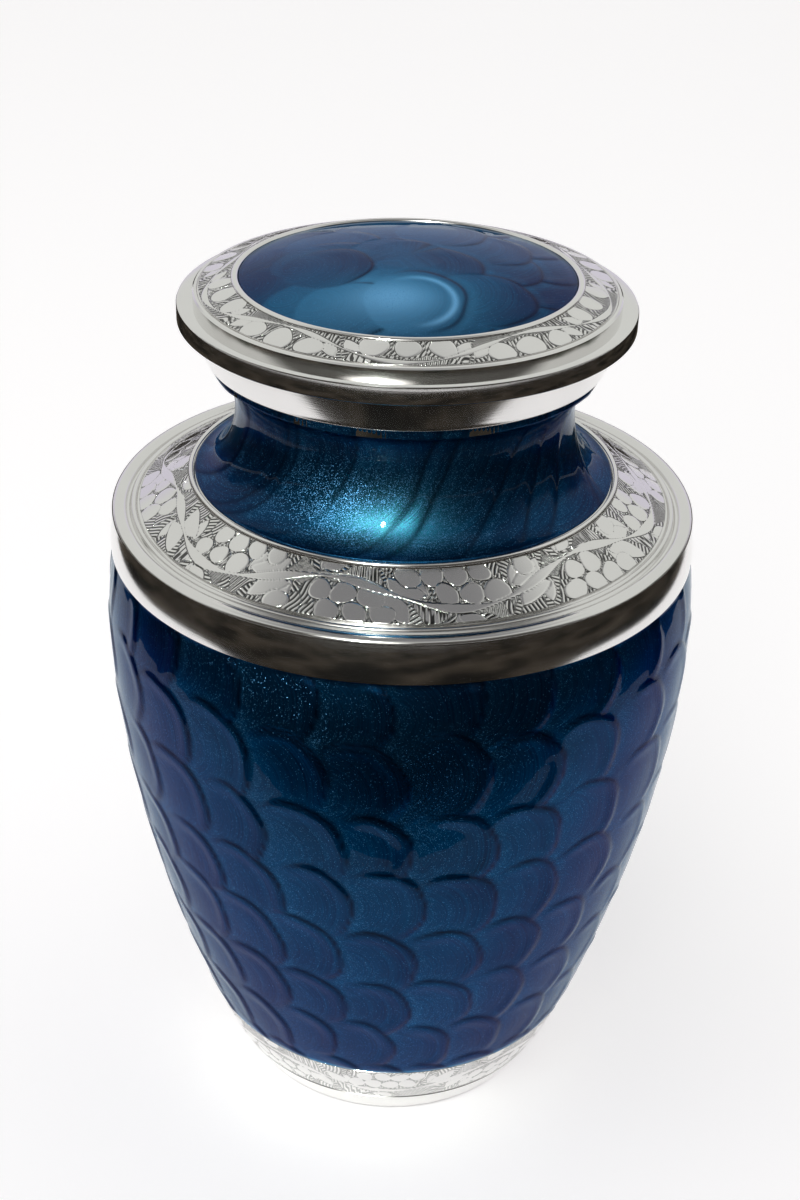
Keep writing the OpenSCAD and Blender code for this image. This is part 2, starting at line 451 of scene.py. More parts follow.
class Flat:
    """x runs round the urn and closes on itself, and y runs up it. The dome is seen from above
    instead, on a plane too long to close."""

    def __init__(self, x, y, length, seed):
        self.x, self.y, self.length = x, y, length
        self.random = np.random.default_rng(seed)

    def near(self, x, y, reach, turn=0.0):
        """Which points lie near a place, and where they lie from it in axes turned by turn."""
        dx = (self.x - x + self.length / 2) % self.length - self.length / 2
        dy = self.y - y
        hit = np.flatnonzero((np.abs(dx) < reach) & (np.abs(dy) < reach))
        dx, dy = dx[hit], dy[hit]
        c, s = math.cos(turn), math.sin(turn)
        return hit, dx * c + dy * s, dy * c - dx * s

    def about(self, value, spread):
        return value + self.random.uniform(-spread, spread)


class Engraving(Flat):
    """Bright flat motifs on a ground of short tool cuts."""

    TILT = 0.022 * MM  # how far a motif leans over each millimetre

    def __init__(self, x, y, length, height, seed):
        super().__init__(x, y, length, seed)
        self.height = height
        self.inside = np.full(len(x), -9.0)  # how far inside a motif a point lies
        self.line = np.full(len(x), 9.0)  # how far it lies from an outline
        self.turn = np.full(len(x), math.pi / 2)  # which way the ground is cut there
        self.tilt = np.zeros(len(x))

    def lay(self, hit, inside, dx, dy, cut_turn):
        """Lays a motif: where two meet, the older one keeps its place and its outline."""
        inside = np.where(self.inside[hit] > 0, np.minimum(inside, -self.inside[hit]), inside)
        within = inside > 0
        self.line[hit] = np.where(within, inside, np.minimum(self.line[hit], np.abs(inside)))
        nearer = inside > self.inside[hit]
        self.turn[hit[nearer]] = np.broadcast_to(cut_turn, hit.shape)[nearer]
        lean = self.random.uniform(-1, 1, 2)
        self.tilt[hit[within]] = (lean[0] * dx + lean[1] * dy)[within]
        self.inside[hit] = np.maximum(self.inside[hit], inside)

    def oval(self, x, y, a, b, turn=0.0):
        hit, dx, dy = self.near(x, y, a + 4, turn)
        wobble = 1 + 0.05 * np.sin(3 * np.arctan2(dy, dx) + self.about(0, 3))
        self.lay(hit, (wobble - np.hypot(dx / a, dy / b)) * min(a, b), dx, dy, self.about(1.15, 0.25))

    def leaf(self, x, y, half, wide, turn, bend=0.0):
        hit, dx, dy = self.near(x, y, half + 4, turn)
        dy = dy - bend * dx * dx / half
        big = (half**2 + wide**2) / (2 * wide)
        inside = big - np.hypot(dx, np.abs(dy) + big - wide)
        self.lay(hit, inside, dx, dy, turn + np.sign(dy) * 1.15)

    def spray(self, x, y, size, turn, way):
        """A curling leaf: a long blade and a short one that spread from one stalk."""
        for share, off, bend in ((1.0, 0.0, 0.30), (0.62, 0.75, 0.20)):
            a = turn + off * way
            half = share * size / 2
            cx, cy = x + (half + 0.5) * math.cos(a), y + (half + 0.5) * math.sin(a)
            self.leaf(cx, cy, half, 0.42 * half + 0.4, a, bend * way)

    def vine_y(self, x, waves, sway):
        return self.height / 2 + sway * np.sin(2 * math.pi * waves * x / self.length)

    def vine(self, waves, sway, wide):
        k = 2 * math.pi * waves / self.length
        slope = np.arctan(sway * k * np.cos(k * self.x))
        off = (self.y - self.vine_y(self.x, waves, sway)) * np.cos(slope)
        swell = wide * (0.7 + 0.4 * np.sin(3 * k * self.x + 1.0))
        self.lay(np.arange(len(self.x)), swell / 2 - np.abs(off), 0 * off, off, slope + math.pi / 2 + 0.35)

    def cluster(self, x, y, r, waves, sway, count, rows):
        """One or two rows of round fruits side by side, clear of the vine."""
        apart = 1.0 if rows > 1 else 1.2
        columns = (0, -1, 1, -2, 2, -3)
        spots = [((i + j / 2) * apart, (j - (rows - 1) / 2) * 0.88) for i in columns for j in range(rows)]
        laid = 0
        for i, j in spots:
            fx, fy = self.about(x + 2.0 * r * i, 0.35), self.about(y + 2.0 * r * j, 0.35)
            clear = abs(fy - float(self.vine_y(fx, waves, sway)))
            if 0.6 * r < fy < self.height - 0.6 * r and clear > 0.8 * r and laid < count:
                a, b = self.about(r, 0.2 * r), self.about(0.95 * r, 0.14 * r)
                self.oval(fx, fy, a, b, self.about(0, 1.5))
                laid += 1

    def scroll(self, waves, sway, wide, fruit, fruits, leaf, rows=2):
        """A vine that winds round the band, with fruit and leaves in its bends."""
        self.vine(waves, sway, wide)
        half = self.length / waves / 2
        for bend in range(2 * waves):
            x = self.about((bend + 0.5) * half, 1)
            side = -1 if bend % 2 == 0 else 1
            self.cluster(x, self.height / 2 + side * 0.19 * self.height, fruit, waves, sway, fruits, rows)
            for way in (-1, 1):
                lx = self.about(x + way * 0.33 * half, 0.6)
                ly = float(self.vine_y(lx, waves, sway)) + side * 0.35 * wide
                turn = (math.pi / 2 - way * self.about(1.0, 0.15)) * side
                self.spray(lx, ly, self.about(leaf, 0.5), turn, way * side)
            stem = float(self.vine_y(x, waves, sway)) - side * 0.3 * wide
            self.spray(x - 0.12 * half, stem, 0.75 * leaf, -side * 0.75, -side)

    def across(self, pitch):
        """How many cuts across the ground a point lies."""
        across = self.x * np.sin(self.turn) - self.y * np.cos(self.turn)
        along = self.x * np.cos(self.turn) + self.y * np.sin(self.turn)
        return (across + 0.22 * np.sin(along * 0.9 + 5 * self.turn)) / pitch

    def shape(self, depth, pitch):
        """How high each point is raised."""
        edge = np.minimum(self.y, self.height - self.y)
        ground = ramp(-self.inside, 0.1, 0.4) * ramp(edge, 0.3, 0.6)
        stroke = 1 - np.clip(np.abs(2 * (self.across(pitch) % 1) - 1) * 1.25, 0, 1)
        outline = (1 - ramp(self.line, 0.05, 0.35)) * ramp(edge, 0.1, 0.4)
        cut = np.maximum(ground * stroke, outline)
        return -cut * depth + ramp(self.inside, -0.1, 0.3) * self.tilt * self.TILT


class Scales(Flat):
    """Round dabs of enamel laid over each other like fish scales."""

    def __init__(self, x, y, length, seed, stretch=None):
        super().__init__(x, y, length, seed)
        self.stretch = np.ones(len(x)) if stretch is None else stretch  # real width of one unit of x
        self.lift = np.zeros(len(x))  # how high a point stands
        # line also holds the painted shade just outside a dab's lip
        self.line = np.zeros(len(x))  # how dark the line between two dabs is there
        # the enamel's own tone, with the painted light and shade laid on it
        self.tone = np.zeros(len(x))  # how light the enamel is
        self.brush = np.zeros(len(x))  # how far across the brush's strokes it lies

    def dab(self, x, y, a, b, turn=0.0, lip=2.2, shine=0.0, curl=0.0):
        """A round dab with a swollen lip on its right, which covers what lies under it. It is lighter on
        its left and darker on its right, with painted shade and a painted highlight just outside its lip.
        """
        hit, dx, dy = self.near(x, y, 1.6 * max(a, b))
        dx = dx * self.stretch[hit]
        c, s = math.cos(turn), math.sin(turn)
        across, up = dx * c + dy * s, dy * c - dx * s
        away = np.arctan2(up, across)
        uneven = 1 + 0.035 * np.sin(2 * away + self.about(0, 3))
        uneven += 0.02 * np.sin(5 * away + self.about(0, 3))
        far = np.hypot(across / a, up / b) / uneven
        inside = (1 - far) * min(a, b)
        cover = ramp(inside, -0.5, 0.9)
        facing = ramp(0.85 * across / a + 0.40 * up / b, -0.30, 0.55)
        swell = np.exp(-(((inside - 0.9 * lip) / lip) ** 2)) * facing + 0.22 * across / a
        self.lift[hit] += cover * (swell - self.lift[hit])
        rim = np.exp(-(((inside - 0.30) / 0.55) ** 2)) * facing
        # painted shade just outside the lip on its right, kept with the line
        shade = 0.35 * np.exp(-(np.maximum(-inside, 0) / 2.0)) * facing * (1 - cover)
        self.line[hit] = np.maximum(np.maximum(self.line[hit] * (1 - cover), rim), shade)
        inner = curl * np.exp(-(((inside - 2.2) / 1.3) ** 2)) * facing
        # the dab's tone: lighter on its left, darker on its right, plus the painted light given as shine
        self.tone[hit] += cover * (-0.8 * across / a + self.about(0, 0.22) + shine + inner - self.tone[hit])
        # painted highlight: a lighter band just outside the lip on its right
        self.tone[hit] += 0.55 * np.exp(-(((inside + 1.6) / 1.3) ** 2)) * facing
        self.brush[hit] += cover * (np.hypot(across + 0.7 * a, up) + self.about(0, 9) - self.brush[hit])


# Shader maths


def maths_method(operation):
    """A method that adds a maths node for an operator."""
    return lambda self, other: self.maths(operation, other)


class Value:
    """A number in a node tree: an expression on it adds the nodes."""

    def __init__(self, paint, socket):
        self.paint, self.socket = paint, socket

    def maths(self, operation, *others):
        return Value(self.paint, self.paint.node("ShaderNodeMath", {"operation": operation}, self, *others))

    __add__ = __radd__ = maths_method("ADD")
    __mul__ = __rmul__ = maths_method("MULTIPLY")
    __sub__ = maths_method("SUBTRACT")
    __pow__ = maths_method("POWER")
    __gt__ = maths_method("GREATER_THAN")

    def __rsub__(self, other):
        return (self * -1) + other

    def clamped(self):
        return self.maths("MINIMUM", 1.0).maths("MAXIMUM", 0.0)

    def between(self, low, high):
        """0 below low, 1 above high and smooth between."""
        settings = {"interpolation_type": "SMOOTHSTEP"}
        return Value(self.paint, self.paint.node("ShaderNodeMapRange", settings, self, low, high, 0.0, 1.0))


class Paint:
    """A node tree with one way to add any node."""

    def __init__(self, tree):
        self.tree = tree
        tree.nodes.clear()

    def node(self, kind, settings, *inputs, output=0, **named):
        """Adds a node with its settings made first, and gives one of its outputs."""
        node = self.tree.nodes.new(kind)
        for name, setting in settings.items():
            setattr(node, name, setting)
        for key, value in [*enumerate(inputs), *named.items()]:
            if value is not None:
                self.feed(node.inputs[key.replace("_", " ") if isinstance(key, str) else key], value)
        return node.outputs[output] if node.outputs else None

    def feed(self, socket, value):
        value = value.socket if isinstance(value, Value) else value
        if isinstance(value, bpy.types.NodeSocket):
            self.tree.links.new(value, socket)
        else:
            is_colour = isinstance(value, tuple) and len(socket.default_value) == 4
            socket.default_value = (*value, 1) if is_colour else value

    def value(self, socket):
        return Value(self, socket)

    def own(self, name):
        """A number stored on the piece's points."""
        return self.value(self.node("ShaderNodeAttribute", {"attribute_name": name}, output="Fac"))

    def vector(self, operation, *inputs, **named):
        return self.node("ShaderNodeVectorMath", {"operation": operation}, *inputs, **named)

    def parts(self, kind, whole):
        """The numbers that a vector or a colour is made of."""
        return [self.value(output) for output in self.node(kind, {}, whole).node.outputs]

    def mix(self, share, low, high):
        """The colour low where share is 0, and high where it is 1."""
        skipped = [None] * 5
        return self.node("ShaderNodeMix", {"data_type": "RGBA"}, share, *skipped, low, high, output=2)

    def noise(self, vector, scale, detail=2.0):
        named = {"Vector": vector, "Scale": scale, "Detail": detail}
        return self.value(self.node("ShaderNodeTexNoise", {}, **named))

    def places(self):
        return self.node("ShaderNodeTexCoord", {}, output="Object")

    def turned(self):
        """Coordinates for lathe marks: radius and height count fully, and the way round hardly."""
        x, y, z = self.parts("ShaderNodeSeparateXYZ", self.places())
        r = (x * x + y * y).maths("SQRT")
        return self.node("ShaderNodeCombineXYZ", {}, r, z, y.maths("ARCTAN2", x) * 0.0004)

    def bump(self, height, strength, distance, normal=None):
        named = {"Height": height, "Strength": strength, "Distance": distance, "Normal": normal}
        return self.node("ShaderNodeBump", {}, **named)

    def finish(self, **sockets):
        shader = self.node("ShaderNodeBsdfPrincipled", {}, **sockets)
        self.node("ShaderNodeOutputMaterial", {}, shader)


def new_paint(name):
    material = bpy.data.materials.new(name)
    material.use_nodes = True
    return material, Paint(material.node_tree)


def bright_metal(finish, cut=0.0):
    """Turned and polished metal with fine rings left by the tool. cut is how strongly painted shade darkens
    its cuts.
    """
    name = f"engraved metal {cut}" if cut else "turned bright metal"
    if name in bpy.data.materials:
        return bpy.data.materials[name]
    material, paint = new_paint(name)
    rings = paint.noise(paint.turned(), TURNINGS, 3.0)
    cloud = paint.noise(paint.places(), 60.0, 3.0)
    rough = 0.07 + 0.09 * cloud
    colour = paint.mix(cloud * 0.3, tuple(finish.metal), tuple(0.78 * c for c in finish.metal))
    normal = paint.bump(rings, 0.12, 0.00005)
    if cut:
        inside, line, across = paint.own("inside"), paint.own("line"), paint.own("across")
        ground = (inside * -1).between(0.05, 0.22)
        stroke = 1 - ((across.maths("FRACT") * 2 - 1).maths("ABSOLUTE") * 1.15).clamped()
        outline = 1 - line.between(0.03, 0.20)
        deep = (ground * stroke).maths("MAXIMUM", outline)
        rough = rough + ground * 0.06
        # painted shade: the cuts' ground and outlines are darkened towards the shaded cut colour
        colour = paint.mix(deep.between(0.28, 0.58) * cut, colour, tuple(finish.shaded_cut_metal))
        normal = paint.bump(1 - deep, 0.8, 0.0001, normal)
    paint.finish(
        Base_Color=colour,
        Metallic=1.0,
        Roughness=rough,
        Normal=normal,
        Anisotropic=0.5,
        Anisotropic_Rotation=0.25,
    )
    return material


def pearl_enamel(finish, name, painted_light, pearl=0.0, flakes=0.07, rough=0.34, grain=1.1):
    """Deep blue enamel with metallic flakes and brushed dabs under a thick clear gloss, with light and
    shade painted into its colour.
    """
    material, paint = new_paint(name)
    places = paint.places()
    line, tone, brush = paint.own("line"), paint.own("tone"), paint.own("brush")
    strokes = paint.noise(paint.node("ShaderNodeCombineXYZ", {}, brush, tone * 0.6, 0.0), 1.9, 4.0)
    cloud = paint.noise(places, 48.0, 3.0)
    # how light the enamel is, from the stored tone with its painted light and shade, the brushed streaks
    # and random clouds
    light = (0.45 + 0.30 * tone + grain * (strokes - 0.5) + 0.7 * (cloud - 0.5)).clamped()
    bright = tuple(e + pearl * (p - e) for e, p in zip(finish.enamel, finish.pearl))
    # the dark end of the enamel: thick enamel and painted shade
    deep = tuple(e + 0.6 * pearl * (p - e) for e, p in zip(finish.deep_and_shaded_enamel, finish.enamel))
    base = paint.mix(light, deep, bright)
    cells = paint.node("ShaderNodeTexVoronoi", {}, Vector=places, Scale=FLAKES, output="Color")
    chance, size = paint.parts("ShaderNodeSeparateColor", cells)[:2]
    # painted light: the patches stored on the piece, coloured with the light colour it is given
    patch = paint.own("painted_light")
    # flakes are denser where the enamel is painted lighter and on the painted light patches
    flake = (chance > (1 - flakes * (0.15 + 3.5 * light**4.0 + 3.0 * patch))) * (1 - line)
    colour = paint.mix(patch, base, tuple(painted_light))
    colour = paint.mix(flake * (0.3 + 0.7 * size), colour, tuple(finish.flake))
    # the lines and the painted shade beside the lips
    colour = paint.mix(line * 0.8, colour, tuple(finish.enamel_line_and_shade))
    lean = paint.vector("SUBTRACT", cells, (0.5, 0.5, 0.5))
    lean = paint.vector("SCALE", lean, Scale=0.08 + 0.5 * flake)
    facing = paint.node("ShaderNodeNewGeometry", {}, output="Normal")
    facing = paint.vector("NORMALIZE", paint.vector("ADD", facing, lean))
    normal = paint.bump(strokes, 0.3, 0.0002, facing)
    paint.finish(
        Base_Color=colour,
        Metallic=1.0,
        Specular_Tint=(0.06, 0.40, 0.60),
        Roughness=rough + 0.10 * flake,
        Normal=normal,
        Coat_Weight=0.65,
        Coat_Roughness=0.012,
        Coat_IOR=1.18,
    )
    return material


# The pieces


def vessel_and_finish(context):
    return Vessel(context.scene.urn_vessel), context.scene.urn_finish


def lid_and_finish(context):
    scene = context.scene
    return Lid(scene.urn_lid, scene.urn_vessel.mouth_d / 2), scene.urn_finish


def added(name):
    """The object that was just added, under its name."""
    made = bpy.context.object
    made.name = name
    return made


def round_and_up(piece, radius, height):
    """Each point's place on the unrolled face in millimetres, and which points are on that face."""
    places, along = corners(piece), numbers(piece, "along")
    x = np.arctan2(places[:, 1], places[:, 0]) % (2 * math.pi) * radius / MM
    return x, along * height / MM, along >= 0


def engrave(piece, node, finish, radius, height, seed, cut, **scroll):
    """Cuts a scroll into the outer face of a band. cut is how strongly painted shade darkens the cuts."""
    x, y, on_face = round_and_up(piece, radius, height)
    work = Engraving(x, y, 2 * math.pi * radius / MM, height / MM, seed)
    work.scroll(**scroll)
    pitch = finish.cut_pitch / MM
    raise_by(piece, np.where(on_face, work.shape(finish.cut_depth, pitch), 0))
    store(piece, "inside", np.where(on_face, work.inside, 9))
    store(piece, "line", np.where(on_face, work.line, 9))
    store(piece, "across", np.where(on_face, work.across(pitch), 0))
    hand_over(piece, node, bright_metal(finish, cut))


def keep_dabs(piece, work, on_face):
    """Stores what the enamel's colour is made from."""
    for name in ("line", "tone", "brush"):
        store(piece, name, np.where(on_face, getattr(work, name), 0))


def section_length(points):
    return float(np.linalg.norm(np.diff(np.array(points), axis=0), axis=1).sum())


class URN_OT_vessel_body(bpy.types.Operator):
    """Turns the vessel's metal body, with its foot, mouldings, mouth and hollow"""

    bl_idname = "urn.vessel_body"
    bl_label = "Vessel body"

    def execute(self, context):
        vessel, finish = vessel_and_finish(context)
        piece = lathe("vessel_body", vessel.body(), 288)
        sharpen(piece, 32)
        hand_over(piece, "vessel", bright_metal(finish))
        return {"FINISHED"}


class URN_OT_shoulder_engraving(bpy.types.Operator):
    """Makes the engraved slope of the shoulder"""

    bl_idname = "urn.shoulder_engraving"
    bl_label = "Shoulder engraving"

    def execute(self, context):
        vessel, finish = vessel_and_finish(context)
        face = vessel.slope()
        piece = shell("shoulder_engraving", face, THIN, 0.29 * MM, 1480)
        radius = (vessel.slope_low_r + vessel.slope_top_r) / 2
        scroll = {"waves": 6, "sway": 4.2, "wide": 2.8, "fruit": 3.4, "fruits": 10, "leaf": 12}
        engrave(piece, "vessel", finish, radius, section_length(face), 3, 0.94, **scroll)
        return {"FINISHED"}


class URN_OT_foot_engraving(bpy.types.Operator):
    """Makes the engraved band of the foot"""

    bl_idname = "urn.foot_engraving"
    bl_label = "Foot engraving"

    def execute(self, context):
        vessel, finish = vessel_and_finish(context)
        face = vessel.foot_band()
        piece = shell("foot_engraving", face, THIN, 0.33 * MM, 1180)
        radius = sum(r for r, z in face) / len(face)
        scroll = {"waves": 5, "sway": 3.6, "wide": 2.4, "fruit": 2.7, "fruits": 8, "leaf": 9.0}
        engrave(piece, "vessel", finish, radius, section_length(face), 8, 0.5, **scroll)
        return {"FINISHED"}


class URN_OT_belly_enamel(bpy.types.Operator):
    """Lays the belly's enamel in overlapping scales"""

    bl_idname = "urn.belly_enamel"
    bl_label = "Belly enamel"

    def execute(self, context):
        vessel, finish = vessel_and_finish(context)
        face = vessel.belly()
        height = section_length(face) / MM
        piece = shell("belly_enamel", face, 1.1 * MM, 0.86 * MM, 460)
        wide = vessel.s.belly_d / 2
        x, y, on_face = round_and_up(piece, wide, height * MM)
        places = corners(piece)
        stretch = np.hypot(places[:, 0], places[:, 1]) / wide
        around = 2 * math.pi * wide / MM
        work = Scales(x, y, around, 12, stretch)
        pitch = around / finish.scale_count
        rows = round(height / pitch)
        for row in range(rows + 1):
            level = height - (row + 0.35) * height / rows
            shift = work.about(0.12 * (row % 2), 0.22)
            for turn in range(finish.scale_count, 0, -1):
                cx = (turn + shift) * pitch + 0.25 * around
                r = work.about(0.66, 0.04) * pitch
                squeeze = float(np.interp(level, [0, height / 2, height], [0.74, 0.94, 1.0]))
                work.dab(work.about(cx, 1.6), work.about(level, 1.6), r * squeeze, r, work.about(0.1, 0.3))
        fade = ramp(np.minimum(y, height - y), 0, 2.5)
        edge = np.exp(-((y / 0.7) ** 2)) * 0.25 * MM
        lift = (work.lift * fade - 1.22) * finish.scale_lift - edge
        raise_by(piece, np.where(on_face, lift, 0))
        sharpen(piece, 50)
        # painted highlight: a light line along the belly's lower edge
        store(piece, "painted_light", np.where(on_face, 0.7 * np.exp(-((y / 1.2) ** 2)), 0))
        keep_dabs(piece, work, on_face)
        enamel = pearl_enamel(finish, "scaled pearl enamel", finish.painted_light)
        hand_over(piece, "vessel", enamel)
        return {"FINISHED"}


class URN_OT_neck_enamel(bpy.types.Operator):
    """Lays the neck's enamel in long slanting strokes, with patches of painted highlight low on it"""

    bl_idname = "urn.neck_enamel"
    bl_label = "Neck enamel"

    def execute(self, context):
        vessel, finish = vessel_and_finish(context)
        face = vessel.neck() + vessel.collar()[:2]
        height = section_length(face) / MM
        piece = shell("neck_enamel", face, THIN, 0.55 * MM, 560)
        radius = vessel.s.waist_d / 2
        x, y, on_face = round_and_up(piece, radius, height * MM)
        around = 2 * math.pi * radius / MM
        work = Scales(x, y, around, 5)
        strokes = 22
        for turn in range(strokes, 0, -1):
            cx = work.about(turn * around / strokes + 0.25 * around, 5)
            work.dab(cx, work.about(0.62 * height, 2), work.about(15, 2), work.about(34, 2), -0.45)
        fade = ramp(np.minimum(y, height - y), 0, 3)
        raise_by(piece, np.where(on_face, work.lift * 0.16 * MM * fade, 0))
        work.line *= 0.65
        keep_dabs(piece, work, on_face)
        # painted highlight: three light patches low on the neck, a third of the way round from each other
        gap = around / 3  # between the light patches, one of which is almost in front
        patch = (x - 0.735 * around + gap / 2) % gap - gap / 2
        painted_light = np.exp(-((patch / 17) ** 2) - ((y - 0.30 * height) / (0.24 * height)) ** 2)
        store(piece, "painted_light", np.where(on_face, 0.7 * painted_light, 0))
        enamel = pearl_enamel(finish, "brushed pearl enamel", finish.neck_painted_light, 0.0, 0.16, 0.40)
        hand_over(piece, "vessel", enamel)
        return {"FINISHED"}


class URN_OT_lid_body(bpy.types.Operator):
    """Turns the lid's metal, with its skirt, rim, hollow and sleeve"""

    bl_idname = "urn.lid_body"
    bl_label = "Lid body"

    def execute(self, context):
        lid, finish = lid_and_finish(context)
        piece = lathe("lid_body", lid.body(), 288)
        sharpen(piece, 32)
        hand_over(piece, "lid", bright_metal(finish))
        return {"FINISHED"}


class URN_OT_lid_engraving(bpy.types.Operator):
    """Makes the engraved band of the lid"""

    bl_idname = "urn.lid_engraving"
    bl_label = "Lid engraving"

    def execute(self, context):
        lid, finish = lid_and_finish(context)
        face = lid.band()
        piece = shell("lid_engraving", face, THIN, 0.25 * MM, 1320)
        radius = (face[0][0] + face[1][0]) / 2
        scroll = {"waves": 5, "sway": 3.6, "wide": 1.8, "fruit": 3.8, "fruits": 4, "leaf": 7, "rows": 1}
        engrave(piece, "lid", finish, radius, section_length(face), 21, 0.94, **scroll)
        return {"FINISHED"}


class URN_OT_lid_dome(bpy.types.Operator):
    """Lays the enamel dome of the lid in cloudy swirls, with painted light on its front and painted shade
    towards its sides
    """

    bl_idname = "urn.lid_dome"
    bl_label = "Lid dome"
    # each one's place, radius and painted light, which is below 0 for painted shade
    LARGE_DABS = (
        (-15, -33, 14, 0.1),
        (-4, 2, 12, -0.3),
        (-22, -8, 13, -0.2),
        (6, -9, 15, -0.2),
        (20, -25, 14, -0.2),
    )
    # the curl's middle, round which a painted highlight curls
    CURL = (2, -29)  # the middle of the light curl

    def execute(self, context):
        lid, finish = lid_and_finish(context)
        outer = spaced(lid.cap(lid.ball_r, lid.dome_r, 60), 0.52 * MM)
        inner = lid.cap(lid.ball_r - 1.1 * MM, lid.dome_r, 8)[::-1]
        section = inner + outer
        piece = lathe("lid_dome", section, 400, along=[-1] * len(inner) + [1] * len(outer))
        places = corners(piece)
        work = Scales(places[:, 0] / MM, places[:, 1] / MM, 1000.0, 17)
        for ring, count, r in ((37, 13, 14), (24, 9, 14)):
            for turn in range(count):
                a = 2 * math.pi * (turn + 0.4 * (ring % 2)) / count + 1.9
                cx, cy = work.about(ring * math.cos(a), 1.5), work.about(ring * math.sin(a), 1.5)
                work.dab(cx, cy, work.about(r, 1.5), work.about(r, 1.5), work.about(-0.6, 0.5))
        for cx, cy, r, shine in self.LARGE_DABS:
            work.dab(cx, cy, r, r, work.about(-0.2, 0.2), 3.0, shine)
        curl_x, curl_y = self.CURL
        work.dab(curl_x, curl_y, 14, 16, -0.15, 3.0, 0.1)
        # painted shade: darker towards the dome's left and right sides
        work.tone -= 1.1 * (work.x / 40 - 0.1) ** 2
        # painted light: a crescent round the curl's right side, a spot in its middle and a wide lighter
        # patch over the dome's front
        out = np.hypot(work.x - curl_x, 0.85 * (work.y - curl_y))
        right = ramp(np.cos(np.arctan2(work.y - curl_y, work.x - curl_x) - 0.25), -0.45, 0.7)
        middle = 0.45 * np.exp(-(((work.x + 3) / 11) ** 2) - ((work.y + 27) / 8) ** 2)
        wide = np.exp(-(((work.x + 6) / 27) ** 2) - ((work.y + 30) / 17) ** 2) * (0.30 + 0.12 * work.tone)
        painted_light = 0.65 * np.exp(-(((out - 10.4) / 0.9) ** 2)) * right + middle + wide
        store(piece, "painted_light", np.clip(painted_light, 0, 1) * (places[:, 2] > lid.edge_z))
        on_face = numbers(piece, "along") > 0
        fade = ramp(lid.dome_r / MM - np.hypot(places[:, 0], places[:, 1]) / MM, 0.3, 3)
        lift = (work.lift - 1.3) * 0.10 * MM * fade - 0.25 * MM * (1 - fade)
        raise_by(piece, np.where(on_face, lift, 0))
        keep_dabs(piece, work, on_face)
        enamel = pearl_enamel(finish, "clouded pearl enamel", finish.painted_light, 0.36, 0.04, 0.36, 0.8)
        hand_over(piece, "lid", enamel)
        return {"FINISHED"}


# The stage


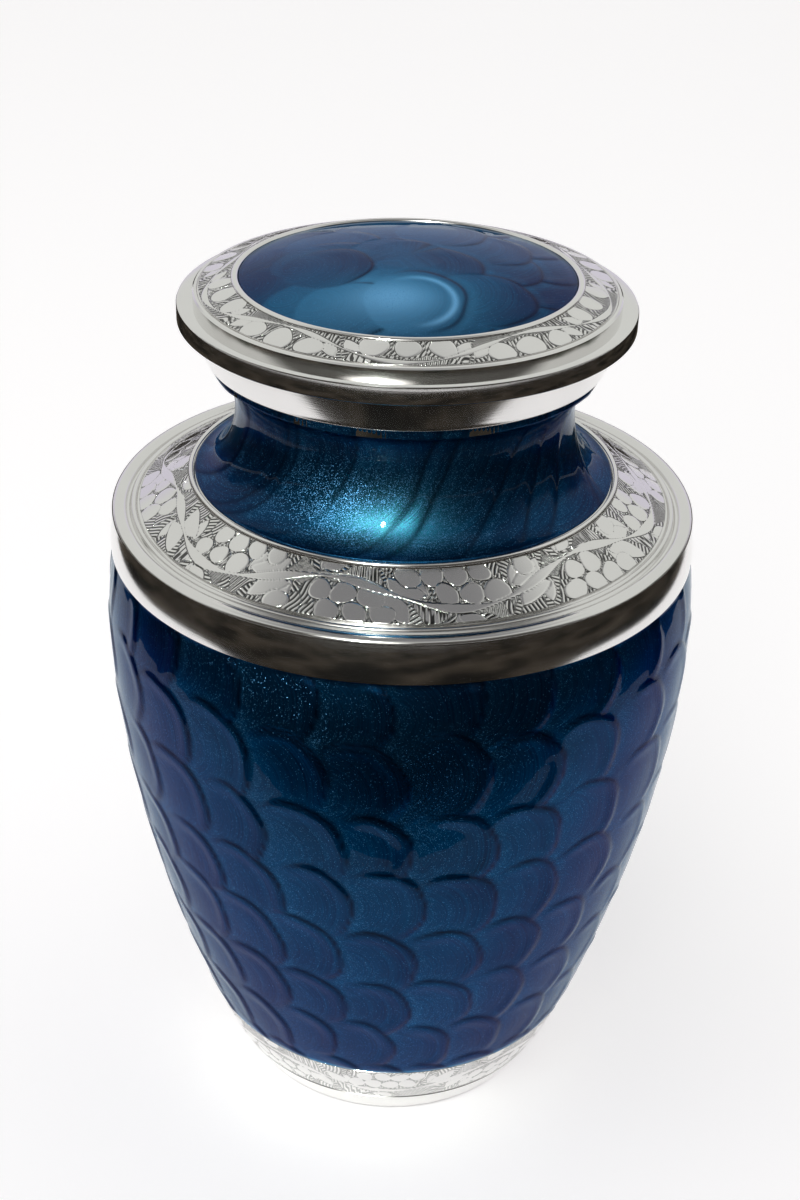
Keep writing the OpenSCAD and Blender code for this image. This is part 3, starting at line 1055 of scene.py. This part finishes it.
class URN_OT_stage(bpy.types.Operator):
    """Sets the pale floor, its dark surround, the sky, the lamps and the camera"""

    bl_idname = "urn.stage"
    bl_label = "Stage"
    HOLE = (0.41, 0.36)  # half of the dark surround's hole, across and from front to back
    HOLE_Y = 0.17
    SOFT_LIGHT = (-0.5, -0.6, 1.6)
    CAMERA = (0, -0.4698, 0.4325)
    CAMERA_DOWN = math.radians(29.95)
    CAMERA_ROLL = math.radians(1.46)

    def execute(self, context):
        self.floor()
        self.dark_cloth()
        self.sky(context.scene)
        self.lamps()
        self.camera(context.scene)
        context.scene.view_settings.view_transform = "Standard"
        return {"FINISHED"}

    def floor(self):
        bpy.ops.object.select_all(action="DESELECT")
        bpy.ops.mesh.primitive_plane_add(size=60, location=(0, 0, 0))
        floor = added("floor")
        material, paint = new_paint("pale floor")
        paint.finish(
            Base_Color=(0.80, 0.79, 0.80),
            Roughness=1.0,
            Specular_IOR_Level=0.0,
            Emission_Color=(1.0, 0.985, 1.0),
            Emission_Strength=0.47,
        )
        floor.data.materials.append(material)

    def dark_cloth(self):
        """A dark cloth on the floor, with a hole round the urn, that shows only in reflections."""
        bpy.ops.object.select_all(action="DESELECT")
        bpy.ops.mesh.primitive_circle_add(vertices=96, radius=1, location=(0, 0, 0))
        cloth = added("dark_cloth")
        for corner in cloth.data.vertices:
            x, y = (half * math.copysign(abs(c) ** 0.5, c) for half, c in zip(self.HOLE, corner.co))
            corner.co = (x, y + self.HOLE_Y, MM)
        bpy.ops.object.mode_set(mode="EDIT")
        bpy.ops.mesh.select_all(action="SELECT")
        bpy.ops.mesh.extrude_edges_move()
        bpy.ops.transform.resize(value=(12, 12, 1))
        bpy.ops.object.mode_set(mode="OBJECT")
        material, paint = new_paint("dark cloth")
        folds = paint.noise(paint.places(), 5.0, 3.0)
        colour = paint.mix(folds.between(0.38, 0.66), (0.014, 0.013, 0.012), (0.085, 0.070, 0.055))
        paint.finish(Base_Color=colour, Roughness=1.0, Specular_IOR_Level=0.0)
        cloth.data.materials.append(material)
        cloth.visible_camera = False
        cloth.visible_diffuse = False
        cloth.visible_shadow = False

    def sky(self, scene):
        """A pale sky with a bright haze round the sun and grey overhead. Its horizon is dark, darkest
        in front, and turns lilac behind."""
        world = bpy.data.worlds.new("soft sky")
        world.use_nodes = True
        scene.world = world
        paint = Paint(world.node_tree)
        way = paint.node("ShaderNodeTexCoord", {}, output="Generated")
        y, z = paint.parts("ShaderNodeSeparateXYZ", way)[1:]
        patches = paint.noise(way, 5.0, 3.0)
        dark = paint.mix(patches.between(0.45, 0.62), (0.045, 0.050, 0.034), (0.13, 0.105, 0.085))
        dark = paint.mix(y.between(0.55, 0.85), dark, (0.72, 0.69, 0.78))
        pale = paint.mix(z.between(0.78, 0.98), (0.74, 0.75, 0.72), (0.24, 0.24, 0.245))
        low = z + 0.25 * (patches - 0.5)
        colour = paint.mix(low.between(0.16, 0.30), dark, pale)
        front = (y * -1).between(0.10, 0.45) * (1 - z.between(0.70, 0.86))
        colour = paint.mix(front * 0.94, colour, (0.05, 0.045, 0.04))
        toward = paint.value(paint.vector("DOT_PRODUCT", way, SUN, output="Value"))
        haze = toward.between(0.93, 1.0) ** 2.0
        colour = paint.mix(haze, colour, (3.0, 2.95, 2.85))
        seen = paint.node("ShaderNodeLightPath", {}, output="Is Camera Ray")
        colour = paint.mix(seen, colour, (1.0, 0.99, 1.0))
        shader = paint.node("ShaderNodeBackground", {}, colour, 1.0)
        paint.node("ShaderNodeOutputWorld", {}, shader)

    def lamps(self):
        bpy.ops.object.light_add(type="SUN")
        sun = added("sun")
        sun.rotation_euler = Vector(SUN).to_track_quat("Z", "Y").to_euler()
        sun.data.energy = 4.5
        sun.data.angle = math.radians(7)
        sun.data.color = (0.90, 1.0, 0.90)
        sun.visible_diffuse = False
        bpy.ops.object.light_add(type="AREA", location=self.SOFT_LIGHT)
        soft = added("soft_light")
        soft.rotation_euler = Vector((-0.5, -0.6, 1.5)).to_track_quat("Z", "Y").to_euler()
        soft.data.shape = "DISK"
        soft.data.size = 1.4
        soft.data.energy = 6
        soft.visible_glossy = False

    def camera(self, scene):
        bpy.ops.object.camera_add()
        camera = bpy.context.object
        aim = Matrix.Rotation(math.pi / 2 - self.CAMERA_DOWN, 4, "X")
        aim = aim @ Matrix.Rotation(self.CAMERA_ROLL, 4, "Z")
        camera.matrix_world = Matrix.Translation(self.CAMERA) @ aim
        camera.data.sensor_width = 36
        camera.data.lens = 53.8
        camera.data.clip_start = 0.01
        scene.camera = camera


OPERATORS = (
    URN_OT_vessel_body,
    URN_OT_shoulder_engraving,
    URN_OT_foot_engraving,
    URN_OT_belly_enamel,
    URN_OT_neck_enamel,
    URN_OT_lid_body,
    URN_OT_lid_engraving,
    URN_OT_lid_dome,
    URN_OT_stage,
)


class URN_PT_panel(bpy.types.Panel):
    """Lists the urn's sizes, finishes and pieces"""

    bl_idname = "URN_PT_panel"
    bl_label = "Funeral urn"
    bl_space_type = "VIEW_3D"
    bl_region_type = "UI"
    bl_category = "Urn"

    def draw(self, context):
        for group in (context.scene.urn_vessel, context.scene.urn_lid, context.scene.urn_finish):
            box = self.layout.box()
            for name in group.__annotations__:
                box.prop(group, name)
        for operator in OPERATORS:
            self.layout.operator(operator.bl_idname)


GROUPS = (UrnVesselSizes, UrnLidSizes, UrnFinish)


def register():
    for kind in (*GROUPS, *OPERATORS, URN_PT_panel):
        bpy.utils.register_class(kind)
    bpy.types.Scene.urn_vessel = bpy.props.PointerProperty(type=UrnVesselSizes)
    bpy.types.Scene.urn_lid = bpy.props.PointerProperty(type=UrnLidSizes)
    bpy.types.Scene.urn_finish = bpy.props.PointerProperty(type=UrnFinish)


def unregister():
    del bpy.types.Scene.urn_vessel, bpy.types.Scene.urn_lid, bpy.types.Scene.urn_finish
    for kind in reversed((*GROUPS, *OPERATORS, URN_PT_panel)):
        bpy.utils.unregister_class(kind)


def main():
    register()
    for operator in OPERATORS:
        group, name = operator.bl_idname.split(".")
        getattr(getattr(bpy.ops, group), name)()


if __name__ == "__main__":
    main()
